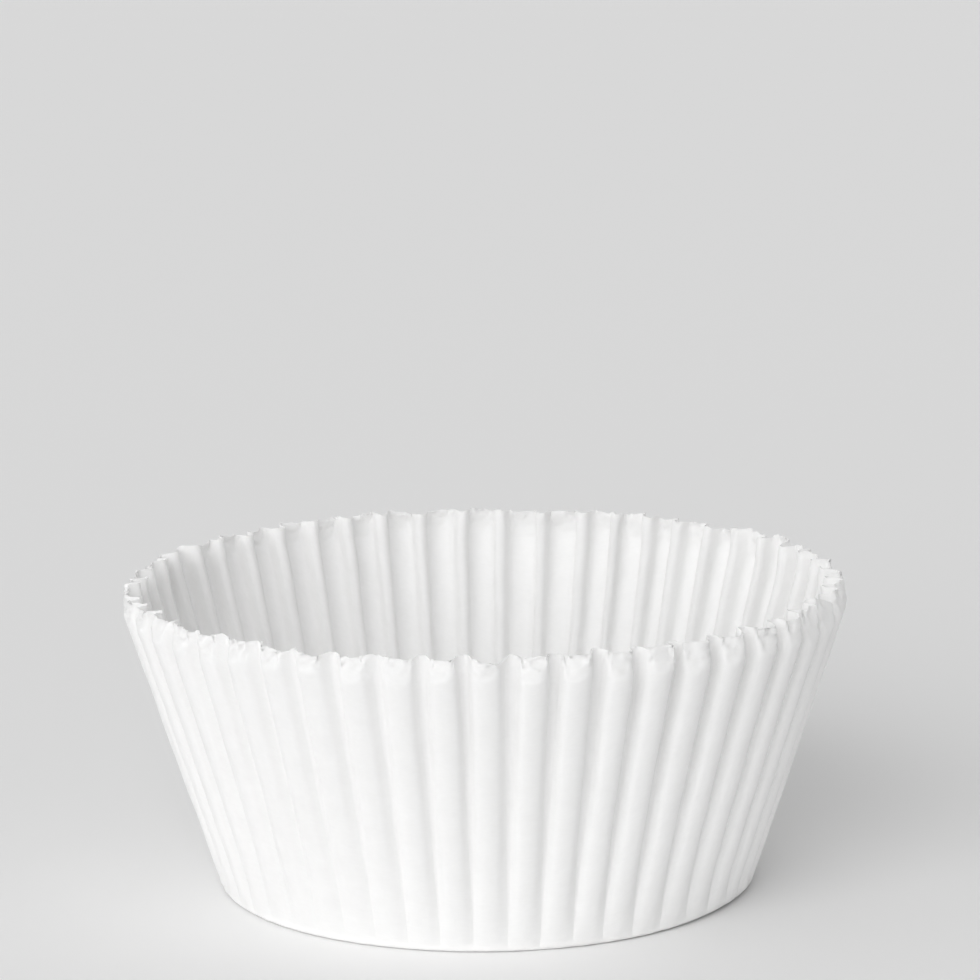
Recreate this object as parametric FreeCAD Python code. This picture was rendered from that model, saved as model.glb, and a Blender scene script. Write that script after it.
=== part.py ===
import FreeCAD, Part
import math
import os

# A pleated paper baking cup, folded from one round sheet and standing on its flat base.
# Millimetres, +Z up. The origin is the centre of the base's underside, and one pleat's
# crest lies on +X. A crest is where the wall stands furthest out, a groove is the fold
# between two crests, and the tips are the last stretch of the wall below the rim.

# Driving dimensions: name, value and what it measures. Angles are in degrees.
DIMENSIONS = [
    ("base_diameter", 50.8, "across the base, where the lines of the crests meet the ground"),
    ("edge_radius", 1.2, "outside radius of the soft edge between base and wall"),
    ("edge_land", 0.15, "plain strip between the soft edge and the first folds"),
    ("wall_lean", 18, "how far the crests lean outwards from upright"),
    ("wall_height", 27.6, "height at which the tips begin"),
    ("tip_height", 1.5, "height of the tips"),
    ("tip_turn_in", 0.5, "how far the tips of the crests turn inwards"),
    ("pleat_count", 52, "number of pleats round the wall"),
    ("low_fold_height", 3, "height at which the pleats have opened to their low depth"),
    ("low_fold_depth", 0.6, "from crest to groove at that height"),
    ("pleat_depth", 2.35, "from crest to groove where the tips begin"),
    ("crest_radius", 1.3, "outside radius of a crest"),
    ("groove_radius", 0.5, "outside radius of a groove"),
    ("paper_thickness", 0.1, "thickness of the sheet"),
]

# Flat facets that a rounded fold is made of.
EDGE_FACETS = 3
HALF_CREST_FACETS = 2
HALF_GROOVE_FACETS = 2

# The share of a pleat's width that its rounded folds may take up.
FOLD_SHARE = 0.95

doc = FreeCAD.newDocument("cupcake_liner")
sizes = doc.addObject("Spreadsheet::Sheet", "sizes")
for row, (name, number, note) in enumerate(DIMENSIONS, start=1):
    sizes.set("A%d" % row, name)
    sizes.set("B%d" % row, str(number))
    sizes.set("C%d" % row, note)
    sizes.setAlias("B%d" % row, name)
doc.recompute()


def polar(reach, angle, height):
    return FreeCAD.Vector(reach * math.cos(angle), reach * math.sin(angle), height)


def turned(point, angle):
    """A corner of the first pleat, turned about the axis to another pleat."""
    return FreeCAD.Rotation(FreeCAD.Vector(0, 0, 1), math.degrees(angle)).multVec(point)


def groove_ring(count, reach, height):
    """One corner below each groove, on a circle about the axis."""
    step = 2 * math.pi / count
    return [polar(reach, (pleat - 0.5) * step, height) for pleat in range(count)]


def pleated_ring(count, height, crest_reach, groove_reach, inset):
    """The corners of a level cut through the pleats. One pleat runs from the bottom of a
    groove round half of that groove, up a straight flank that touches both circles, round
    the crest, and back down in mirror image. The inset moves the line towards the axis by
    the paper's thickness: it takes that from the crest's radius and adds it to the groove's.
    Where the pleats are narrow, the folds are rounded no more than there is room for."""
    half_pleat = math.pi / count
    room = FOLD_SHARE * groove_reach * math.sin(half_pleat)
    rounding = min(1, room / (sizes.crest_radius + sizes.groove_radius))
    crest_radius = sizes.crest_radius * rounding
    groove_radius = sizes.groove_radius * rounding
    crest_centre = polar(crest_reach - crest_radius, 0, height)
    groove_centre = polar(groove_reach + groove_radius, half_pleat, height)
    across = groove_centre - crest_centre
    touching = math.acos((crest_radius + groove_radius) / across.Length)
    # Direction from the crest's centre to the place where the flank leaves the crest.
    flank = math.atan2(across.y, across.x) - touching
    half = []
    for facet in range(HALF_CREST_FACETS + 1):
        angle = flank * facet / HALF_CREST_FACETS
        half.append(crest_centre + polar(crest_radius - inset, angle, 0))
    for facet in range(HALF_GROOVE_FACETS + 1):
        angle = flank + (half_pleat - flank) * facet / HALF_GROOVE_FACETS
        half.append(groove_centre - polar(groove_radius + inset, angle, 0))
    mirrored = [FreeCAD.Vector(corner.x, -corner.y, corner.z) for corner in half[:0:-1]]
    pleat = mirrored + half[:-1]
    step = 2 * half_pleat
    return [turned(corner, index * step) for index in range(count) for corner in pleat]


def panel(*corners):
    return Part.Face(Part.makePolygon(list(corners) + [corners[0]]))


def plain_band(lower, upper):
    """Flat four-cornered panels between two rings with the same corners."""
    count = len(lower)
    follow = [(index, (index + 1) % count) for index in range(count)]
    return [panel(lower[a], lower[b], upper[b], upper[a]) for a, b in follow]


def folded_band(lower, upper, count):
    """Each place between two pleated rings as two flat triangles, in mirror image on the
    two halves of a pleat."""
    corners = len(lower)
    per_pleat = corners // count
    panels = []
    for a in range(corners):
        b = (a + 1) % corners
        if a % per_pleat < per_pleat // 2:
            panels += [panel(lower[a], lower[b], upper[b]), panel(lower[a], upper[b], upper[a])]
        else:
            panels += [panel(lower[a], lower[b], upper[a]), panel(lower[b], upper[b], upper[a])]
    return panels


def fanned_band(ring, pleated, count):
    """Flat triangles that fan out from one corner below each groove to the folds above it,
    and one more under each crest."""
    per_pleat = len(pleated) // count
    panels = []
    for pleat in range(count):
        near = ring[pleat]
        far = ring[(pleat + 1) % count]
        first = pleat * per_pleat
        folds = [pleated[(first + place) % len(pleated)] for place in range(per_pleat + 1)]
        crest = per_pleat // 2
        for place in range(per_pleat):
            foot = near if place < crest else far
            panels.append(panel(foot, folds[place], folds[place + 1]))
        panels.append(panel(near, folds[crest], far))
    return panels


def liner_shape():
    """The sheet's outer and inner surfaces as panels that meet along the folds, closed at
    the rim and sewn into one solid."""
    count = int(sizes.pleat_count)
    lean = math.radians(sizes.wall_lean)
    radius = sizes.edge_radius
    bend = math.pi / 2 - lean
    flat_reach = sizes.base_diameter / 2 - radius * math.tan(bend / 2)
    plain_height = radius * (1 - math.cos(bend)) + sizes.edge_land
    plain_reach = sizes.base_diameter / 2 + plain_height * math.tan(lean)
    low_reach = sizes.base_diameter / 2 + sizes.low_fold_height * math.tan(lean)
    crest_reach = sizes.base_diameter / 2 + sizes.wall_height * math.tan(lean)
    low_groove_reach = low_reach - sizes.low_fold_depth
    groove_reach = crest_reach - sizes.pleat_depth
    groove_slope = (groove_reach - low_groove_reach) / (sizes.wall_height - sizes.low_fold_height)
    rim_height = sizes.wall_height + sizes.tip_height
    rim_crest_reach = crest_reach - sizes.tip_turn_in
    rim_groove_reach = groove_reach + groove_slope * sizes.tip_height
    level_thickness = sizes.paper_thickness / math.cos(lean)

    faces = []
    rims = []
    for depth, inset in ((0, 0), (sizes.paper_thickness, level_thickness)):
        rings = []
        for facet in range(EDGE_FACETS + 1):
            angle = bend * facet / EDGE_FACETS
            reach = flat_reach + (radius - depth) * math.sin(angle)
            rings.append(groove_ring(count, reach, radius - (radius - depth) * math.cos(angle)))
        rings.append(groove_ring(count, plain_reach - inset, plain_height))
        low = pleated_ring(count, sizes.low_fold_height, low_reach, low_groove_reach, inset)
        shoulder = pleated_ring(count, sizes.wall_height, crest_reach, groove_reach, inset)
        rim = pleated_ring(count, rim_height, rim_crest_reach, rim_groove_reach, inset)
        faces.append(panel(*rings[0]))
        for lower, upper in zip(rings[:-1], rings[1:]):
            faces += plain_band(lower, upper)
        faces += fanned_band(rings[-1], low, count)
        faces += folded_band(low, shoulder, count)
        faces += folded_band(shoulder, rim, count)
        rims.append(rim)
    faces += plain_band(*rims)
    shell = Part.Shell(faces)
    shell.sewShape()
    solid = Part.makeSolid(shell)
    if solid.Volume < 0:
        solid.reverse()
    return solid.removeSplitter()


liner = doc.addObject("Part::Feature", "liner")
liner.Label = "liner"
liner.Shape = liner_shape()
liner.Placement = FreeCAD.Placement()
doc.recompute()

for item in doc.Objects:
    if "Invalid" in item.State or "Error" in item.State:
        raise RuntimeError("%s did not build: %s" % (item.Name, item.State))
shape = liner.Shape
if shape.isNull() or not shape.isValid() or len(shape.Solids) != 1:
    raise RuntimeError("the liner is not one valid solid")
print("liner: %d faces, volume %.1f mm3, area %.0f mm2" % (len(shape.Faces), shape.Volume, shape.Area))

os.makedirs("parts", exist_ok=True)
shape.exportStep("parts/%s.step" % liner.Label)
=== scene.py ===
"""A pleated paper baking cup, empty and standing on its base, on a pale floor in soft light."""

import math

import bpy
import numpy as np
from mathutils import Matrix, Vector


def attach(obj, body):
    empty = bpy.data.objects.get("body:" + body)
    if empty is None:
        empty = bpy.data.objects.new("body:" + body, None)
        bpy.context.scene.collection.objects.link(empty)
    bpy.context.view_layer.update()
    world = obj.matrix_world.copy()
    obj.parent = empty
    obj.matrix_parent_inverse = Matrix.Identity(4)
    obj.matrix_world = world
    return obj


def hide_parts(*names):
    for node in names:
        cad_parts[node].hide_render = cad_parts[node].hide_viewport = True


MM = 0.001

# The cup's own sizes, in millimetres and degrees.
BASE_RADIUS = 25.4
EDGE_RADIUS = 0.7
LEAN = math.radians(18)
TIP_START = 27.6
TIP_HEIGHT = 1.5
PLEATS = 52
PLEAT_DEPTH = 2.35
PAPER = 0.1

# Steps along half a pleat: a crest's top, its shoulder, and the groove. One more is the flank.
TOP_STEPS, SHOULDER_STEPS, GROOVE_STEPS = 2, 4, 3
HALF = TOP_STEPS + SHOULDER_STEPS + 1 + GROOVE_STEPS

# Rings of the paper's grid, from the middle outwards: the flat base, the soft edge, the wall,
# and the closer ones of the tips. The first pleated ring is the flat base's last.
BASE_RINGS = (0.16, 0.4, 0.62, 0.8, 0.92, 0.975, 1.0)
EDGE_RINGS, WALL_RINGS, TIP_RINGS = 5, 22, 13
FIRST_PLEATED = len(BASE_RINGS) - 1


# The sheet's long section.


def meridian():
    """The line that a crest follows from the middle of the base to the rim, one entry a ring:
    distance along the paper, reach from the axis, height. It is a straight floor, an arc of
    the edge's radius that turns by the lean's complement, and a straight wall. The wall's
    rings stand closer near the edge, by a power of 1.3, and closest in the tips."""
    bend = math.pi / 2 - LEAN
    floor_end = BASE_RADIUS - EDGE_RADIUS * math.tan(bend / 2)
    wall_foot = EDGE_RADIUS * (1 - math.cos(bend))
    wall_end = TIP_START + TIP_HEIGHT
    share = np.linspace(0, 1, WALL_RINGS + 1)[1:] ** 1.3
    close = TIP_START - 2
    near_rim = np.linspace(close, wall_end, TIP_RINGS + 1)[1:]
    heights = np.concatenate([wall_foot + (close - wall_foot) * share, near_rim])
    turn = bend * np.arange(1, EDGE_RINGS + 1) / EDGE_RINGS
    floor = floor_end * np.array(BASE_RINGS)
    paper = np.concatenate(
        [
            floor,
            floor_end + EDGE_RADIUS * turn,
            floor_end + EDGE_RADIUS * bend + (heights - wall_foot) / math.cos(LEAN),
        ]
    )
    reach = np.concatenate(
        [
            floor,
            floor_end + EDGE_RADIUS * np.sin(turn),
            BASE_RADIUS + heights * math.tan(LEAN),
        ]
    )
    height = np.concatenate([0 * floor, EDGE_RADIUS * (1 - np.cos(turn)), heights])
    return paper, reach, height


def wander(rng, along, count, lengths):
    """Smooth wandering numbers of about -1 to 1, one column for each of `count` folds: a sum
    of sines of the given wavelengths along the paper, each with its own phase and weight."""
    total = np.zeros((len(along), count))
    for length in lengths:
        phase = rng.uniform(0, 2 * np.pi, count)
        weight = rng.uniform(0.4, 1.0, count)
        total += weight * np.sin(2 * np.pi * along[:, None] / length + phase)
    return total / len(lengths)


# The pleats' positions.


def past_front(angle):
    """The angle from the front, in radians: to the right above 0, to the left below."""
    return (angle + 1.5 * np.pi) % (2 * np.pi) - np.pi


def crowding(angle):
    """How far the pleats at an angle about the axis are pushed round, in radians: one broad
    bump in front, where they crowd together on one side and open out on the other, and a
    slower wander behind."""
    from_front = past_front(angle)
    bump = 0.8 - 1.1 * np.exp(-(((np.degrees(from_front) - 30) / 26) ** 2))
    bump = bump + 0.5 * np.exp(-(((np.degrees(from_front) - 72) / 24) ** 2))
    behind = (0.5 - 0.5 * np.cos(from_front)) ** 2
    slow = 0.9 * np.sin(3 * angle + 0.7) + 0.6 * np.sin(7 * angle + 2.1)
    return np.radians(bump + behind * slow)


def pleat_lines(rng, paper, reach, top):
    """Angle and depth of every fold on every ring. Folds start evenly spaced, then get the
    crowding, a small step of their own, a lean that grows up the wall, a faint waver, and a
    kink in the last few millimetres. Depth grows as the 0.65th power of the distance above
    the base's edge, which takes up a sheet of constant width, and each groove starts at its
    own distance. Where the pleats are pulled open, on the front's left, they are shallower."""
    step = 2 * np.pi / PLEATS
    groove = (np.arange(PLEATS) - 0.5) * step
    groove = groove + crowding(groove) + step * rng.normal(0, 0.014, PLEATS)
    following = np.roll(groove, -1) + np.where(np.arange(PLEATS) == PLEATS - 1, 2 * np.pi, 0)
    crest = 0.5 * (groove + following) + step * rng.normal(0, 0.012, PLEATS)

    start = paper[FIRST_PLEATED]
    climb = np.clip((paper - start) / (top - start), 0, None)[:, None]
    near_rim = np.clip((paper - (top - 2.5)) / (paper[-1] - top + 2.5), 0, 1)[:, None] ** 1.5
    size = 1 / np.maximum(reach, 10)[:, None]
    groove_angle = groove + size * (
        climb * rng.normal(0, 0.1, PLEATS)
        + 0.07 * climb * wander(rng, paper, PLEATS, (17, 9))
        + near_rim * rng.normal(0, 0.08, PLEATS)
    )
    crest_angle = crest + size * (
        climb * rng.normal(0, 0.09, PLEATS)
        + 0.07 * climb * wander(rng, paper, PLEATS, (19, 8))
        + near_rim * rng.normal(0, 0.16, PLEATS)
    )
    first = start + rng.uniform(0.2, 1.1, PLEATS)
    lift = np.clip(paper[:, None] - first, 0, None)
    lift = lift**2 / (lift + 0.12) / (top - start - 0.6)
    depth = PLEAT_DEPTH * lift**0.65 * (1 + rng.normal(0, 0.035, PLEATS))
    depth = depth * (1 + 0.05 * wander(rng, paper, PLEATS, (13, 7)))
    opened = np.exp(-(((np.degrees(past_front(groove)) + 34) / 48) ** 2))
    depth = depth * (1 - 0.42 * opened)
    return groove_angle, crest_angle, np.maximum(depth, 0.03)


def tip_planes(rng):
    """The plane that each crest's tip is pressed to, by the height where it leaves the crest's
    line, how much it leans inwards for each millimetre of height, and its tilt to one side.
    The tips on the front's right are all pushed the same way, to face a little to the left."""
    starts = np.clip(TIP_START - 0.8 + rng.normal(0, 0.28, PLEATS), 26.1, 27.5)
    slope = np.clip(0.22 + rng.normal(0, 0.06, PLEATS), 0.08, 0.34)
    crest = past_front(2 * np.pi * np.arange(PLEATS) / PLEATS)
    pushed = 0.3 * np.exp(-(((np.degrees(crest) - 48) / 44) ** 2))
    return starts, slope + 0.3 * pushed, rng.normal(0, 0.1, PLEATS) + pushed


def pressed_tips(rng, pleat, height, planes):
    """Presses the tips of the crests flat: what stands beyond a tip's plane comes back to it
    with a crisp corner, as half of (out + plane - the root of their difference squared +
    0.08 squared). The paper that this leaves over stands up as a ridge along the facet's
    borders and as crumples that grow towards the rim."""
    starts, slope, tilt = (part[:, None] for part in planes)
    across, out = pleat[..., 0], pleat[..., 1]
    level = height[:, None, None]
    plane = BASE_RADIUS + starts * math.tan(LEAN) - slope * (level - starts) + tilt * across
    share = np.clip((level - starts) / (height[-1] - starts), 0, 1)

    points = pleat.shape[2]
    sides = rng.uniform(0, 1, (PLEATS, 2)) ** 1.5
    ridge = np.repeat(sides, points // 2, axis=1) * np.exp(-(((out - plane - 0.05) / 0.12) ** 2))
    rows = rng.normal(0, 1, (2, 7, PLEATS, points))
    rows = 0.75 * rows + 0.25 * np.roll(rows, 1, axis=-1)
    nearness = np.clip(1 - np.abs(6 * share[..., None] - np.arange(7)), 0, 1)
    crumple = np.einsum("lpnk,akpn->alpn", np.broadcast_to(nearness, out.shape + (7,)), rows)
    strength = share**0.7 * (0.3 + 0.7 * np.sin(np.pi * np.arange(points) / points) ** 2)

    pressed = 0.5 * (out + plane - np.sqrt((out - plane) ** 2 + 0.08**2))
    pressed = pressed + 0.14 * ridge * share + 0.21 * crumple[0] * strength
    return np.stack([across + 0.1 * crumple[1] * strength, pressed], axis=-1)


# One level's outline.


def half_pleat(crest_reach, groove_reach, opening, groove_radius):
    """Points from the top of a crest to the bottom of its groove in the crest's own plane,
    as (across, out). A crest is a three-centred arch: a broad arc on top and a tighter one at
    its shoulder. Then comes a straight flank that touches the shoulder's circle and the
    groove's circle, and an arc of the groove's circle. The shoulder's radius is 92 percent
    of the one at which those two circles would touch each other. Where the pleats are still
    shallow the arch is one plain arc."""
    depth = crest_reach - groove_reach
    share = np.clip(depth / 1.3, 0, 1)
    share = share * share * (3 - 2 * share)
    broad = 1 + 1.4 * share
    top_turn = math.radians(20) * share
    shift = (broad - 1) * np.sin(top_turn)
    below = broad - (broad - 1) * np.cos(top_turn)

    groove_across = (groove_reach + groove_radius) * np.sin(opening)
    groove_out = (groove_reach + groove_radius) * np.cos(opening)
    rise = groove_out - crest_reach
    square = shift**2 + below**2 - 1
    line = 2 * (groove_radius + shift * groove_across - below * rise)
    rest = groove_across**2 + rise**2 - groove_radius**2
    root = np.sqrt(np.maximum(line**2 - 4 * square * rest, 0))
    radius = 0.92 * 2 * rest / (line + root)

    centre_across = shift * radius
    centre_out = crest_reach - below * radius
    across, out = groove_across - centre_across, groove_out - centre_out
    touching = np.arccos((radius + groove_radius) / np.hypot(across, out))
    flank = np.arctan2(across, out) - touching

    def arc(middle_across, middle_out, arc_radius, turns):
        return np.stack(
            [
                middle_across[..., None] + arc_radius[..., None] * np.sin(turns),
                middle_out[..., None] + arc_radius[..., None] * np.cos(turns),
            ],
            axis=-1,
        )

    top = top_turn[..., None] * np.arange(TOP_STEPS) / TOP_STEPS
    steps = np.arange(SHOULDER_STEPS + 1) / SHOULDER_STEPS
    shoulder = top_turn[..., None] + (flank - top_turn)[..., None] * steps
    steps = np.arange(GROOVE_STEPS + 1) / GROOVE_STEPS
    groove = flank[..., None] + (opening - flank)[..., None] * steps
    return np.concatenate(
        [
            arc(0 * radius, crest_reach - broad * radius, broad * radius, top),
            arc(centre_across, centre_out, radius, shoulder),
            arc(groove_across, groove_out, -groove_radius, groove),
        ],
        axis=-2,
    )


def lumps_at_edge(rng, along, up):
    """Small lumps in the paper beside the base's edge, in millimetres: six plane waves about
    1 to 2 mm long, within 2 mm of the edge, stronger in some places than in others."""
    total = 0 * along
    for length in rng.uniform(0.9, 2.1, 6):
        turn, phase = rng.uniform(0, np.pi), rng.uniform(0, 2 * np.pi)
        step = along * np.cos(turn) + 0.7 * up * np.sin(turn)
        total = total + np.sin(2 * np.pi * step / length + phase)
    patchy = 0.55 + 0.45 * np.sin(along / 7.3 + 1.1) * np.sin(along / 3.1)
    return 0.028 * total * patchy * np.exp(-(((up - 1.3) / 1.1) ** 2))


def outer_surface(rng):
    """The paper's outer face as a grid: rings from the middle of the base to the rim, and
    along each ring 20 points a pleat, groove to groove. Floor rings keep the first pleated
    ring's outline at their own reach. Where a tip's plane leaves the crest's line, the crest
    turns inwards with it by 72 percent and the groove by 20 to 40, in a bend that starts as
    above squared / (above + 0.15). Heights get a low dome under the base, puckers beside the
    edge, a base edge that lifts a little in three places, and a slightly uneven rim."""
    paper, reach, height = meridian()
    top = np.interp(TIP_START, height, paper)
    groove_angle, crest_angle, depth = pleat_lines(rng, paper, reach, top)
    start = paper[FIRST_PLEATED]
    climb = np.clip((paper - start) / (top - start), 0, 1.1)[:, None]
    waver = 0.05 * np.clip(climb * 4, 0, 1) * wander(rng, paper, PLEATS, (15, 6.5))
    crest_reach = reach[:, None] + waver
    planes = tip_planes(rng)
    above = np.clip(height[:, None] - planes[0], 0, None)
    turned_in = above**2 / (above + 0.15) * (planes[1] + math.tan(LEAN))
    groove_reach = np.minimum(reach[:, None] - depth, crest_reach - 0.02)
    groove_reach = groove_reach - rng.uniform(0.2, 0.4, PLEATS) * turned_in
    crest_reach = crest_reach - 0.72 * turned_in
    groove_radius = (0.2 + 0.32 * climb) * (1 + rng.normal(0, 0.08, PLEATS))

    right = half_pleat(crest_reach, groove_reach, crest_angle - groove_angle, groove_radius)
    next_angle = np.roll(groove_angle, -1, axis=1)
    next_angle[:, -1] += 2 * np.pi
    left = half_pleat(
        crest_reach,
        np.roll(groove_reach, -1, axis=1),
        next_angle - crest_angle,
        np.roll(groove_radius, -1, axis=1),
    )
    right = right[..., ::-1, :] * np.array([-1, 1])
    pleat = np.concatenate([right, left[..., 1:-1, :]], axis=-2)
    pleat = pressed_tips(rng, pleat, height, planes)
    turn = crest_angle[..., None]
    across, out = pleat[..., 0], pleat[..., 1]
    x = (out * np.cos(turn) - across * np.sin(turn)).reshape(len(paper), -1)
    y = (out * np.sin(turn) + across * np.cos(turn)).reshape(len(paper), -1)
    narrowed = (reach[:FIRST_PLEATED] / reach[FIRST_PLEATED])[:, None]
    x[:FIRST_PLEATED] = x[FIRST_PLEATED] * narrowed
    y[:FIRST_PLEATED] = y[FIRST_PLEATED] * narrowed

    place = np.arange(2 * HALF)
    toward_crest = 0.5 - 0.5 * np.cos(np.pi * place / HALF)
    crest_lift = 0.13 * rng.normal(0, 1, PLEATS) - 0.1
    groove_lift = 0.1 * rng.normal(0, 1, PLEATS)
    rim_share = np.clip((paper - top + 2) / (paper[-1] - top + 2), 0, 1)[:, None] ** 1.6
    next_lift = np.roll(groove_lift, -1)
    beside = np.where(place < HALF, groove_lift[:, None], next_lift[:, None])
    lift = beside + (crest_lift[:, None] - beside) * toward_crest
    slant = 0.14 * rng.normal(0, 1, PLEATS)[:, None] * np.sin(np.pi * place / HALF)
    z = height[:, None] + rim_share * (lift + slant).reshape(1, -1)
    ragged = rng.normal(0, 1, z.shape[1])
    z[-1] += 0.045 * (ragged + 0.5 * np.roll(ragged, 1)) - 0.03

    far = np.hypot(x, y)
    angle = np.arctan2(y, x)
    lumps = lumps_at_edge(rng, far * angle, paper[:, None] - start)
    x, y = x * (1 + lumps / np.maximum(far, 5)), y * (1 + lumps / np.maximum(far, 5))
    raised = sum(
        size * np.exp(-((np.angle(np.exp(1j * (angle - math.radians(middle)))) / wide) ** 2))
        for size, middle, wide in ((0.28, -25, 0.4), (0.14, 75, 0.5), (0.17, 165, 0.45))
    )
    near_edge = np.clip((paper - 21) / (start - 21), 0, 1) ** 2 * np.clip(1 - height / 8, 0, 1)
    z = z + raised * near_edge[:, None]
    dome = 0.16 * np.clip(1 - (far / 23) ** 2, 0, 1) ** 1.5
    dome = dome * (1 + 0.45 * np.sin(2 * angle + 0.4) + 0.25 * np.sin(far / 3.1 + 3 * angle))
    pucker = 0.05 * np.clip(1 - np.abs(far - 24.1) / 1.5, 0, 1) * np.tile(1 - toward_crest, PLEATS)
    floor_rings = (height == 0)[:, None]
    z = z + floor_rings * (dome + pucker)
    return np.stack([x, y, z], axis=-1), paper


def face_directions(grid):
    """Unit directions straight out of a ring grid: the cross product of the step along each
    ring and the step from ring to ring, each taken between the two neighbours."""
    along = np.roll(grid, -1, axis=1) - np.roll(grid, 1, axis=1)
    up = np.gradient(grid, axis=0)
    out = np.cross(along, up)
    return out / np.linalg.norm(out, axis=-1, keepdims=True)


def unfolded(grid, paper):
    """Where every point lies on the flat round sheet: its distance from the middle along the
    paper, at an angle by its share of the developed length of the second ring of the tips."""
    ring = grid[1 - TIP_RINGS]
    steps = np.linalg.norm(np.roll(ring, -1, axis=0) - ring, axis=-1)
    angle = 2 * np.pi * np.concatenate([[0], np.cumsum(steps)[:-1]]) / steps.sum()
    return np.stack([paper[:, None] * np.cos(angle), paper[:, None] * np.sin(angle)], axis=-1)


def pleated_sheet():
    """The whole paper as one closed surface: up the outer face from the middle of the base,
    over the cut rim, and down the inner face, which is the outer one moved inwards by the
    paper's thickness along its own directions. A fan of triangles closes each middle."""
    rng = np.random.default_rng(11)
    outer, paper = outer_surface(rng)
    inner = outer - PAPER * face_directions(outer)
    flat = unfolded(outer, paper)
    rings = np.concatenate([outer, inner[::-1]])
    count, around = rings.shape[:2]
    middles = np.array([[0, 0, outer[0, :, 2].mean()], [0, 0, inner[0, :, 2].mean()]])
    points = np.concatenate([rings.reshape(-1, 3), middles]) * MM

    first = np.arange(around)
    second = (first + 1) % around
    base = (np.arange(count - 1) * around)[:, None]
    above = base + around
    quads = np.stack([base + first, base + second, above + second, above + first], -1)
    last = (count - 1) * around
    bottom = np.full(around, count * around)
    fans = np.concatenate(
        [
            np.stack([bottom, second, first], -1),
            np.stack([bottom + 1, last + first, last + second], -1),
        ]
    )
    mesh = bpy.data.meshes.new("pleated_sheet")
    mesh.from_pydata(points.tolist(), [], quads.reshape(-1, 4).tolist() + fans.tolist())
    mesh.shade_smooth()
    mesh.set_sharp_from_angle(angle=math.radians(62))

    side = np.repeat([0.0, 0.4], [len(outer), len(inner)])[:, None] * np.ones((1, around))
    sheet = np.concatenate([flat, flat[::-1]])
    sheet = np.concatenate([sheet, side[..., None]], axis=-1).reshape(-1, 3)
    sheet = np.concatenate([sheet, [[0, 0, 0], [0, 0, 0.4]]]) * MM
    place = mesh.attributes.new("on_flat_sheet", "FLOAT_VECTOR", "POINT")
    place.data.foreach_set("vector", sheet.astype(np.float32).ravel())
    piece = bpy.data.objects.new("pleated_sheet", mesh)
    bpy.context.scene.collection.objects.link(piece)
    return piece


# The finishes.


class Varying:
    """A socket whose number varies over the surface. Sums, differences and products with it
    add the Math nodes that work them out."""

    def __init__(self, nodes, socket):
        self.nodes = nodes
        self.socket = socket

    def worked(self, operation, first, second):
        node = self.nodes.node("ShaderNodeMath", {"operation": operation}, {0: first, 1: second})
        return self.nodes.value(node, "Value")

    def __add__(self, other):
        return self.worked("ADD", self, other)

    def __radd__(self, other):
        return self.worked("ADD", other, self)

    def __sub__(self, other):
        return self.worked("SUBTRACT", self, other)

    def __rsub__(self, other):
        return self.worked("SUBTRACT", other, self)

    def __mul__(self, other):
        return self.worked("MULTIPLY", self, other)

    def __rmul__(self, other):
        return self.worked("MULTIPLY", other, self)


class Nodes:
    """The node tree of a material or of the sky, emptied and filled again."""

    def __init__(self, owner):
        self.owner = owner
        owner.use_nodes = True
        self.tree = owner.node_tree
        self.tree.nodes.clear()

    def node(self, kind, settings=None, inputs=None):
        """Adds a node, then sets its settings, then gives its sockets values or links."""
        node = self.tree.nodes.new(kind)
        for name, setting in (settings or {}).items():
            setattr(node, name, setting)
        for name, given in (inputs or {}).items():
            if isinstance(given, Varying):
                given = given.socket
            if isinstance(given, bpy.types.NodeSocket):
                self.tree.links.new(given, node.inputs[name])
            else:
                node.inputs[name].default_value = given
        return node

    def value(self, node, output):
        return Varying(self, node.outputs[output])

    def noise(self, place, scale, detail=2.0, roughness=0.5):
        """Noise that averages 0 and mostly lies between -0.5 and 0.5."""
        sockets = {"Vector": place, "Scale": scale, "Detail": detail, "Roughness": roughness}
        return self.value(self.node("ShaderNodeTexNoise", None, sockets), "Fac") - 0.5

    def done(self, kind, shader):
        """Links the last shader to the output and gives back the material or the sky."""
        self.node(kind, None, {"Surface": shader.outputs[0]})
        return self.owner


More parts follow.
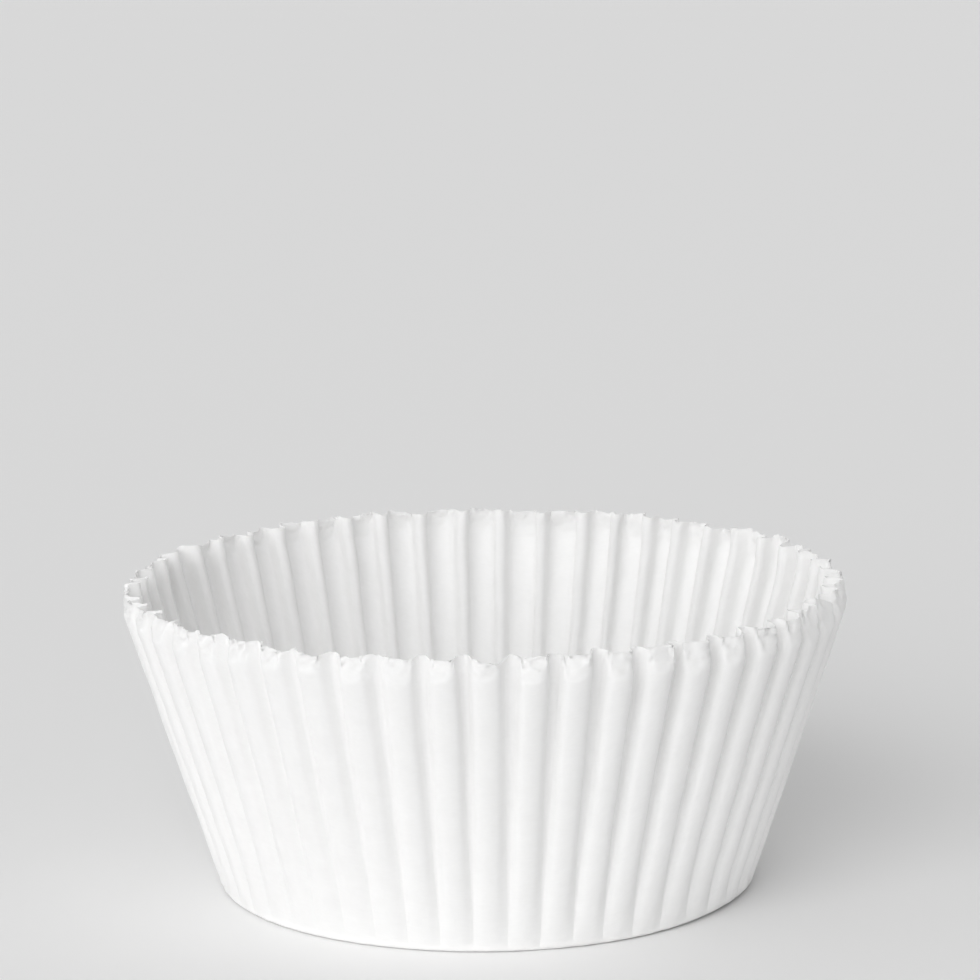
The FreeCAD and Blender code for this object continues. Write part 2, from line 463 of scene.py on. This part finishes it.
def baking_paper():
    """Bleached matt baking paper: a white with the faint clouds of the pulp, and fibres that
    lie every way in the sheet and barely lift its face. Light spreads in the standing wall and
    passes through it. The base lies on the ground, which sends back what passes, so there it
    is a plain matt white."""
    finish = Nodes(bpy.data.materials.new("baking_paper"))
    sheet = finish.node("ShaderNodeAttribute", {"attribute_name": "on_flat_sheet"})
    sheet = sheet.outputs["Vector"]
    long_way = finish.node("ShaderNodeMapping", None, {"Vector": sheet, "Scale": (0.35, 1.0, 1.0)})
    cross_way = finish.node(
        "ShaderNodeMapping",
        None,
        {"Vector": sheet, "Rotation": (0, 0, 1.2), "Scale": (0.3, 1.0, 1.0)},
    )
    clouds = finish.noise(sheet, 420, 4.0, 0.55)
    fibres = finish.noise(long_way.outputs["Vector"], 5200, 3.0)
    crossing = finish.noise(cross_way.outputs["Vector"], 4300, 3.0)
    grain = fibres + crossing
    tint = finish.node(
        "ShaderNodeMix",
        {"data_type": "RGBA", "clamp_factor": True},
        {
            0: 0.5 + 1.1 * clouds + 0.5 * grain,
            6: (0.865, 0.862, 0.855, 1),
            7: (0.925, 0.923, 0.918, 1),
        },
    )
    lifted = finish.node(
        "ShaderNodeBump",
        None,
        {"Strength": 0.22, "Distance": 0.00003, "Height": grain + 0.6 * clouds},
    )
    paper = {
        "Base Color": tint.outputs[2],
        "Roughness": 0.66 + 0.14 * clouds + 0.1 * grain,
        "Specular IOR Level": 0.35,
        "Normal": lifted.outputs["Normal"],
    }
    through = {
        "Subsurface Weight": 1.0,
        "Subsurface Radius": (1.0, 1.0, 1.0),
        "Subsurface Scale": 0.5 * MM,
    }
    lying = finish.node("ShaderNodeBsdfPrincipled", None, paper)
    standing = finish.node("ShaderNodeBsdfPrincipled", None, {**paper, **through})
    length = finish.node("ShaderNodeVectorMath", {"operation": "LENGTH"}, {0: sheet})
    upright = 1 / MM * finish.value(length, "Value") - BASE_RADIUS
    shaders = {0: upright, 1: lying.outputs["BSDF"], 2: standing.outputs["BSDF"]}
    shader = finish.node("ShaderNodeMixShader", None, shaders)
    return finish.done("ShaderNodeOutputMaterial", shader)


def studio_floor():
    """Matt pale grey, almost white, so that it throws much of the light back up at the cup."""
    finish = Nodes(bpy.data.materials.new("studio_floor"))
    colour = {"Base Color": (0.845, 0.845, 0.845, 1), "Roughness": 0.85, "Specular IOR Level": 0.2}
    shader = finish.node("ShaderNodeBsdfPrincipled", None, colour)
    return finish.done("ShaderNodeOutputMaterial", shader)


# Floor, light and camera.


def wide_floor():
    """A level square of floor, large enough that the camera sees nothing beyond it."""
    edge = np.linspace(-2.5, 2.5, 21)
    x, y = np.meshgrid(edge, edge)
    points = np.stack([x, y, 0 * x], -1).reshape(-1, 3)
    corner = (np.arange(20)[:, None] * 21 + np.arange(20)).ravel()
    faces = np.stack([corner, corner + 1, corner + 22, corner + 21], -1)
    mesh = bpy.data.meshes.new("floor")
    mesh.from_pydata(points.tolist(), [], faces.tolist())
    mesh.materials.append(studio_floor())
    floor = bpy.data.objects.new("floor", mesh)
    bpy.context.scene.collection.objects.link(floor)
    return floor


def soft_sun(name, strength, from_front, height, breadth):
    """A broad distant lamp. from_front turns it from the front towards the left."""
    lamp = bpy.data.lights.new(name, "SUN")
    lamp.energy = strength
    lamp.angle = math.radians(breadth)
    turn, rise = math.radians(from_front), math.radians(height)
    toward = Vector(
        (-math.sin(turn) * math.cos(rise), -math.cos(turn) * math.cos(rise), math.sin(rise))
    )
    holder = bpy.data.objects.new(name, lamp)
    holder.rotation_euler = toward.to_track_quat("Z", "Y").to_euler()
    bpy.context.scene.collection.objects.link(holder)


def even_sky(fill, seen):
    """The same grey light from every side, and a paler grey where the camera looks past the
    floor."""
    sky = Nodes(bpy.data.worlds.new("sky"))
    rays = sky.node("ShaderNodeLightPath")
    looks = sky.value(rays, "Is Camera Ray")
    looks = looks + sky.value(rays, "Is Glossy Ray") + sky.value(rays, "Is Transmission Ray")
    light = sky.node("ShaderNodeBackground", None, {"Color": (1, 1, 1, 1), "Strength": fill})
    view = sky.node("ShaderNodeBackground", None, {"Color": (seen, seen, seen, 1), "Strength": 1.0})
    mixed = {0: looks, 1: light.outputs[0], 2: view.outputs[0]}
    either = sky.node("ShaderNodeMixShader", None, mixed)
    bpy.context.scene.world = sky.done("ShaderNodeOutputWorld", either)


def camera():
    """A long lens 380 mm in front of the cup and 111 mm up, tipped down by 10.9 degrees and
    rolled by 0.6."""
    lens = bpy.data.cameras.new("camera")
    lens.sensor_width = 36
    lens.lens = 151.1
    lens.clip_end = 10
    down, yaw, roll = math.radians(10.89), math.radians(0.092), math.radians(0.59)
    ahead = Vector((math.sin(yaw) * math.cos(down), math.cos(yaw) * math.cos(down), -math.sin(down)))
    right = ahead.cross(Vector((0, 0, 1))).normalized()
    above = right.cross(ahead)
    rolled_right = right * math.cos(roll) - above * math.sin(roll)
    rolled_above = above * math.cos(roll) + right * math.sin(roll)
    pose = Matrix((rolled_right, rolled_above, -ahead)).transposed().to_4x4()
    pose.translation = Vector((0, -0.3802, 0.1106))
    holder = bpy.data.objects.new("camera", lens)
    holder.matrix_world = pose
    bpy.context.scene.collection.objects.link(holder)
    bpy.context.scene.camera = holder


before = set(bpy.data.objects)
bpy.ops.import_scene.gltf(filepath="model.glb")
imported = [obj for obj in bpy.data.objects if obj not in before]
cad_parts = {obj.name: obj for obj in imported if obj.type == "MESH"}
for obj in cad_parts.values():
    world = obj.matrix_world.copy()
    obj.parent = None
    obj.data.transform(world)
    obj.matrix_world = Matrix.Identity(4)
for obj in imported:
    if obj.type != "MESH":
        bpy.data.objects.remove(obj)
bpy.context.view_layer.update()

sheet = pleated_sheet()
sheet.data.materials.append(baking_paper())
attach(sheet, "root")
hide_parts("liner")

wide_floor()
soft_sun("key_light", 1.66, 22, 25, 50)
soft_sun("left_light", 0.46, 72, 15, 50)
soft_sun("front_light", 0.29, 10, 8, 45)
soft_sun("top_light", 0.16, 10, 60, 50)
soft_sun("back_light", 0.34, 180, 45, 50)
even_sky(0.4, 0.7)
camera()
bpy.context.scene.view_settings.view_transform = "Standard"
